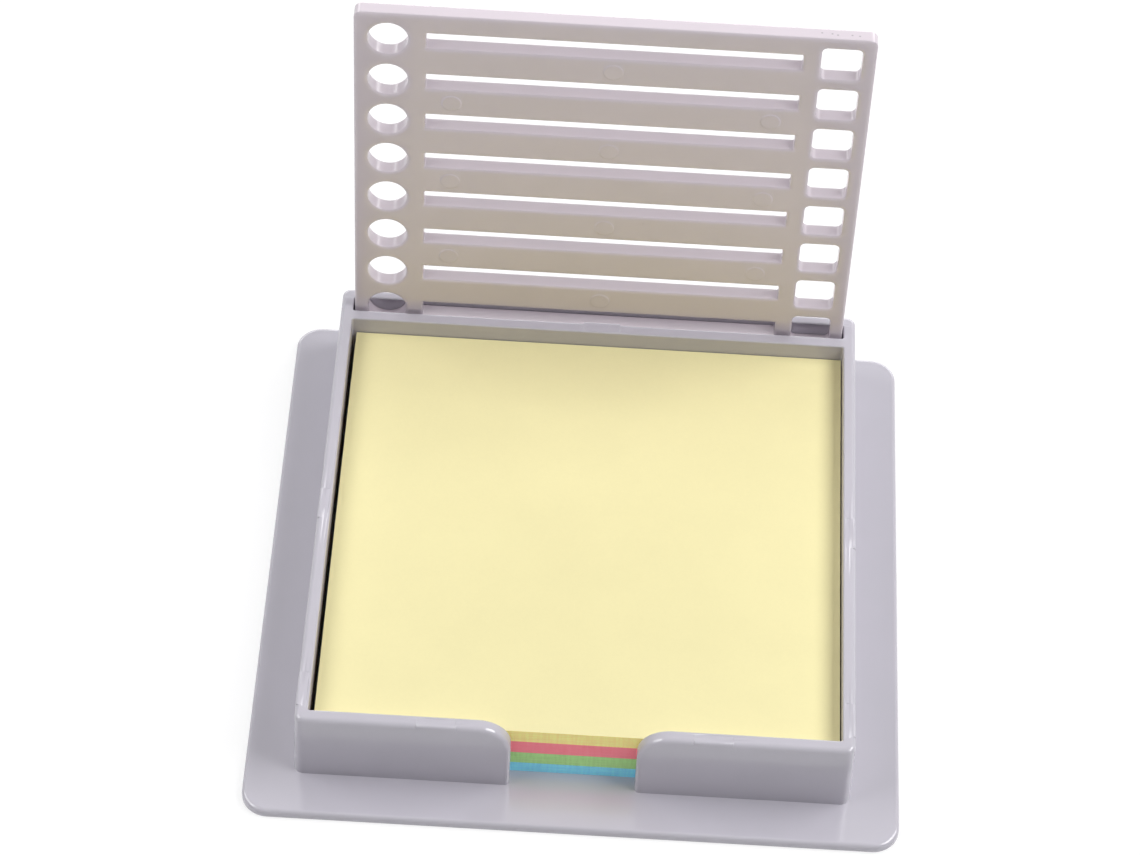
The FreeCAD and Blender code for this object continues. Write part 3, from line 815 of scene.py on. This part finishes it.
def lines_at(place, **given):
    """Lines at some places, each with the heights that the features allow there."""
    place = np.atleast_1d(np.asarray(place, dtype=float))
    values = dict(plate=free, box=free, well=free, slot=free, crest=rim_level, out_x=0.0, out_z=1.0)
    values.update(given)
    return np.column_stack([place] + [np.broadcast_to(value, place.shape) for value in values.values()])


def mirrored(lines):
    """The same lines on the other side, in the other order."""
    return lines[::-1] * np.array([-1, 1, 1, 1, 1, 1, -1, 1])


def plate_edge(half):
    """The plate's edge: foot ring, bevel, side and a quarter round, in = r (1 - cos a), down = r (1 - sin a).
    The foot ring is laid out beyond the side here, and folded in under the plate later."""
    a = np.radians(np.linspace(0, 90, 8))
    place = np.concatenate([[-2 * foot_bevel, -foot_bevel], plate_rounding * (1 - np.cos(a)),
                            [plate_rounding + 0.1 * mm]])
    rounding = plate_level - plate_rounding * (1 - np.sin(a))
    height = np.concatenate([[0.0, foot_bevel], rounding, [plate_level]])
    return lines_at(place - half, plate=height, box=plate_level)


def flange(half, foot):
    """Flat lines between the plate's edge and the box, close together where a corner turns. Behind the
    box there is room for only a few of them."""
    by_corner = plate_corner - half - np.array([2.9, 2.5, 2.1, 1.7, 1.3, 0.9, 0.5, 0.0]) * mm
    by_box = foot - np.array([1.9, 1.2, 0.6, 0.25]) * mm
    places = np.unique(np.concatenate([by_corner, by_box]))
    places = places[(places > plate_rounding + 0.15 * mm - half) & (places < foot - 0.1 * mm)]
    return lines_at(places, box=plate_level)


def outer_wall(foot):
    """The wall's outer face, leaning in by the draft, and the rim's quarter round at its top."""
    a = np.radians(np.linspace(0, 90, 10))
    face = plate_level + (wall_height - rim_rounding) * np.array([0.0, 0.04, 0.5, 0.97])
    height = np.concatenate([face, rim_level - rim_rounding * (1 - np.sin(a)), [rim_level]])
    curve = np.concatenate([face * 0, rim_rounding * (1 - np.cos(a)), [rim_rounding + 0.08 * mm]])
    return lines_at(foot + (height - plate_level) * draft_slope + curve, box=height)


def rim_lines(foot, edge):
    """Flat lines on a rim: both sides of a blade mark, and the middle of the box's corner."""
    outer = foot + draft_run + rim_rounding + 0.12 * mm
    inner = edge - hollow_rounding - 0.09 * mm
    centre = foot + box_corner
    return lines_at([outer, outer + blade_slope, centre - 0.2 * mm, centre, inner - blade_slope, inner])


def hollow_edge(edge, *names):
    """The way down into a hollow: a small quarter round, then straight down to the floor."""
    a = np.radians(np.linspace(0, 90, 6))
    place = edge - hollow_rounding * (1 - np.sin(a))
    height = rim_level - hollow_rounding * (1 - np.cos(a))
    place = np.concatenate([[place[0] - 0.05 * mm], place, [edge]])
    height = np.concatenate([[rim_level], height, [plate_level]])
    return lines_at(place, **{name: height for name in names})


print("a rim's quarter round has", len(outer_wall(0.0)), "lines with its face")

# %% Lines from left to right
def blade_ends(low, high):
    """The two lines at each end of a blade mark."""
    return [low, low + blade_slope, high - blade_slope, high]


corner_steps = np.array([0.1, 0.2, 0.3]) * mm
front_blade = np.array([17.1, 22.8]) * mm
middle_blade = np.array([-2.3, 3.5]) * mm
floor = dict(well=plate_level, slot=plate_level)

gap_floor = np.concatenate([np.linspace(0, gap_half, 7), np.abs(blade_ends(*middle_blade))])
arc = np.radians(np.linspace(0, 90, 15))[1:]
beyond_gap = np.concatenate([np.array([15.4, 20.0, 26.0, 30.0, 34.0, 37.0]) * mm, blade_ends(*front_blade),
                             well_half - corner_steps])
right_of_middle = np.concatenate([
    lines_at(np.unique(gap_floor), crest=plate_level, out_z=0.0, **floor),
    lines_at(np.full(3, gap_half), crest=np.array([0.0, 0.5, 1.0]) * (wall_height - gap_radius) + plate_level,
             out_x=-1.0, out_z=0.0, **floor),
    lines_at(gap_reach - gap_radius * np.cos(arc), crest=rim_level - gap_radius * (1 - np.sin(arc)),
             out_x=-np.cos(arc), out_z=np.sin(arc), **floor),
    lines_at(np.unique(beyond_gap), **floor)])
left_side = np.concatenate([
    plate_edge(plate_half_x), flange(plate_half_x, -foot_side), outer_wall(-foot_side),
    rim_lines(-foot_side, -well_half), hollow_edge(-well_half, "well", "slot")])
across = np.concatenate([left_side, mirrored(right_of_middle)[:-1], right_of_middle, mirrored(left_side)])
print("lines from left to right:", len(across))

# %% Lines from front to back
side_blades = np.array([(-37.4, -31.4), (-2.3, 3.5)]) * mm
well_lines = np.concatenate([well_front + corner_steps, well_back - corner_steps,
                             np.array([-34.5, -26.0, -18.0, -10.0, 0.6, 10.0, 18.0, 26.0, 34.0]) * mm]
                            + [blade_ends(*blade) for blade in side_blades])
wall_lines = blade_ends(well_back + hollow_rounding + 0.1 * mm, slot_front - hollow_rounding - 0.1 * mm)
slot_lines = np.concatenate([slot_front + corner_steps, [slot_front + 1.2 * mm], slot_back - corner_steps,
                             slot_back - np.array([0.05, 0.15]) * mm])
along = np.concatenate([
    plate_edge(plate_half_y), flange(plate_half_y, foot_front), outer_wall(foot_front),
    rim_lines(foot_front, well_front), hollow_edge(well_front, "well"),
    lines_at(np.unique(well_lines), well=plate_level),
    mirrored(hollow_edge(-well_back, "well")), lines_at(wall_lines), hollow_edge(slot_front, "slot"),
    lines_at(np.unique(slot_lines), slot=plate_level),
    mirrored(hollow_edge(-slot_back, "slot")), mirrored(rim_lines(-foot_rear, -slot_back)),
    mirrored(outer_wall(-foot_rear)), mirrored(flange(plate_half_y, -foot_rear)),
    mirrored(plate_edge(plate_half_y))])
print("lines from front to back:", len(along))

# %% [markdown]
# Now the heights. For the front wall, with its finger gap, the crest isn't level: it runs along the gap's
# floor, up its side and over a quarter circle. The rim's rounding is carried along that crest, so a point
# is the crest moved against its outward direction by the drop of the rounding on that line.

# %% Heights where the lines cross
x_place, x_plate, x_box, x_well, x_slot, x_crest, out_x, out_z = across.T
y_place, y_plate, y_box, y_well, y_slot = along.T[:5, :, None]

level = np.minimum.reduce(np.broadcast_arrays(
    rim_level, x_plate, y_plate, x_box, y_box, np.maximum(x_well, y_well), np.maximum(x_slot, y_slot)))

outer = y_box < free
hollow = y_well < free
drop = np.where(outer, np.clip(rim_level - y_box, 0, rim_rounding),
                np.where(hollow, np.clip(rim_level - y_well, 0, hollow_rounding), 0.0))
drop = np.where(y_place > 0, hollow_rounding, drop)
share = np.where(outer, np.clip((y_box - plate_level) / (wall_height - rim_rounding), 0, 1),
                 np.where(hollow, y_well > plate_level + 0.1 * mm, 1.0))
crest = plate_level + share * (x_crest - out_z * drop - plate_level)
in_gap = (y_place < 0) & (abs(x_place) < gap_reach)
level = np.where(in_gap, np.minimum(level, crest), level)

x = x_place - out_x * drop
leaning = in_gap & outer & (y_place > foot_front)
y = y_place - np.where(leaning, (y_box - level) * draft_slope, 0.0)
print("heights from", round(level.min() / mm, 2), "to", round(level.max() / mm, 2), "mm")

# %% [markdown]
# The ejector blades have left shallow rectangles on the rims, and two fine witness lines cross the side
# walls where one insert of the mould meets the next. Beside a blade mark the rim's rounding is tighter,
# because the blade reached nearly to the wall's face. On the middle wall the blade left a little flash,
# which leans back over the gap in front of the stencil.

# %% Marks on the rims
def window(place, low, high):
    """One between two ends and nought outside them, with a short slope at each end."""
    return np.clip(np.minimum(place - low, high - place) / blade_slope, 0, 1)


def tighten(distance, box_height, where):
    """How far a rim's rounding moves out and up beside a blade. A quarter round of a smaller radius is the
    same curve, shrunk towards the edge between the face and the rim."""
    spare = 1 - blade_rounding_share
    below = np.clip(rim_level - box_height, 0, rim_rounding)
    up_face = np.clip((box_height - plate_level) / (wall_height - rim_rounding), 0, 1)
    near = (distance > 0) & (distance < rim_rounding + 0.15 * mm)
    return where * spare * np.where(near, distance, 0.0), where * spare * below * up_face


side_rim = rim_lines(-foot_side, -well_half)[[0, -1], 0]
front_rim = rim_lines(foot_front, well_front)[[0, -1], 0]
on_side = sum(window(y_place, *blade) for blade in side_blades)
on_front = window(abs(x_place), *front_blade)
on_middle = window(x_place, *middle_blade)
blades = window(-abs(x_place), *side_rim) * on_side
blades = blades + window(y_place, *front_rim) * on_front
blades = blades + window(y_place, wall_lines[0], wall_lines[-1]) * on_middle

outwards, upwards = tighten(foot_side - draft_run - abs(x_place), x_box, on_side)
x = x + np.sign(x_place) * outwards
level = level + upwards
outwards, upwards = tighten(y_place - foot_front - draft_run, y_box, on_front)
y = y - outwards
level = level + upwards
flash = abs(y_place - slot_front + 0.2 * mm) < 0.21 * mm
y = y + np.where(flash, on_middle * flash_reach * (level - plate_level) / wall_height, 0.0)
witness = np.exp(-((y_place - slot_back) / witness_width) ** 2) * (abs(x_place) > well_half)
on_rim = level > rim_level - 1e-9
level = level - np.where(on_rim, blade_depth * blades + witness_depth * witness, 0.0)
print("points lowered by the blades:", int((on_rim & (blades > 0)).sum()))

# %% [markdown]
# So far every corner is square. Round each corner's centre the square rings become circles: a point at
# (a, b) from the centre moves to (a, b) times max(a, b) over the length of (a, b). Away from the corner
# the move fades out, where the sheet is flat and nobody sees it.

# %% Rounded corners
def round_corners(x, y, centre_x, centre_y, way_y, full, faded):
    """Turns the square rings round two mirrored corners into circles, fully up to one radius and less and
    less up to another. way_y is -1 for front corners and 1 for back ones."""
    a = abs(x) - centre_x
    b = (y - centre_y) * way_y
    ring = np.maximum(a, b)
    size = np.hypot(a, b)
    fade = np.clip((faded - ring) / (faded - full), 0, 1)
    inside = (a > 0) & (b > 0)
    scale = np.where(inside, 1 + fade * (ring / np.where(inside, size, 1.0) - 1), 1.0)
    return (np.where(inside, np.sign(x) * (centre_x + a * scale), x),
            np.where(inside, centre_y + way_y * b * scale, y))


plate_turn = (6.0 * mm, 7.0 * mm)
box_turn = (1.5 * mm, 3.0 * mm)
hollow_turn = (0.62 * mm, 0.85 * mm)
plate_centre_x = plate_half_x - plate_corner
plate_centre_y = plate_half_y - plate_corner
hollow_centre = well_half - hollow_corner
for centre_y, way_y in ((-plate_centre_y, -1), (plate_centre_y, 1)):
    x, y = round_corners(x, y, plate_centre_x, centre_y, way_y, *plate_turn)
for centre_y, way_y in ((foot_front + box_corner, -1), (foot_rear - box_corner, 1)):
    x, y = round_corners(x, y, foot_side - box_corner, centre_y, way_y, *box_turn)
for centre_y, way_y in ((well_front + hollow_corner, -1), (well_back - hollow_corner, 1),
                        (slot_front + hollow_corner, -1), (slot_back - hollow_corner, 1)):
    x, y = round_corners(x, y, hollow_centre, centre_y, way_y, *hollow_turn)

a = np.maximum(abs(x) - plate_centre_x, 0)
b = np.maximum(abs(y) - plate_centre_y, 0)
size = np.hypot(a, b)
rings = plate_corner + np.array([0, foot_bevel, 2 * foot_bevel])
folded = np.interp(size, np.concatenate([[0], rings]),
                   [0, plate_corner, plate_corner, plate_corner - foot_bevel])
scale = folded / np.maximum(size, 1e-9)
x = np.where(a > 0, np.sign(x) * (plate_centre_x + a * scale), x)
y = np.where(b > 0, np.sign(y) * (plate_centre_y + b * scale), y)
sheet = np.stack(np.broadcast_arrays(x, y, level), axis=-1)
print("sheet of", sheet.shape[0], "by", sheet.shape[1], "points")

# %% Underside and mesh
def ring_of(grid):
    """The sheet's outer loop of points, once round."""
    return np.concatenate([grid[0, :-1], grid[:-1, -1], grid[-1, :0:-1], grid[:0:-1, 0]])


foot_ring = ring_of(sheet)
outward = foot_ring[:, :2] / np.linalg.norm(foot_ring[:, :2], axis=1, keepdims=True)


def circle_under(radius, height):
    """A circle of as many points as the foot ring has, each on its own ray from the middle."""
    return lift(outward * radius, height)


stub_level = gate_depth - stub_height
gate_loops = [(gate_radius + 6 * mm, 0.0), (gate_radius + 0.3 * mm, 0.0), (gate_radius + 0.1 * mm, 0.0),
              (gate_radius, 0.05 * mm),
              (gate_radius, gate_depth), (stub_radius + 0.1 * mm, gate_depth), (stub_radius, gate_depth),
              (stub_radius, stub_level), (0.0, stub_level)]
underside = np.stack([foot_ring] + [circle_under(*loop) for loop in gate_loops])
moulding = make_piece("tray_moulding", [patch(sheet), band(underside)], [tray_plastic])
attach(moulding, "root")
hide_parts("tray")
compare_boxes(moulding, "tray")
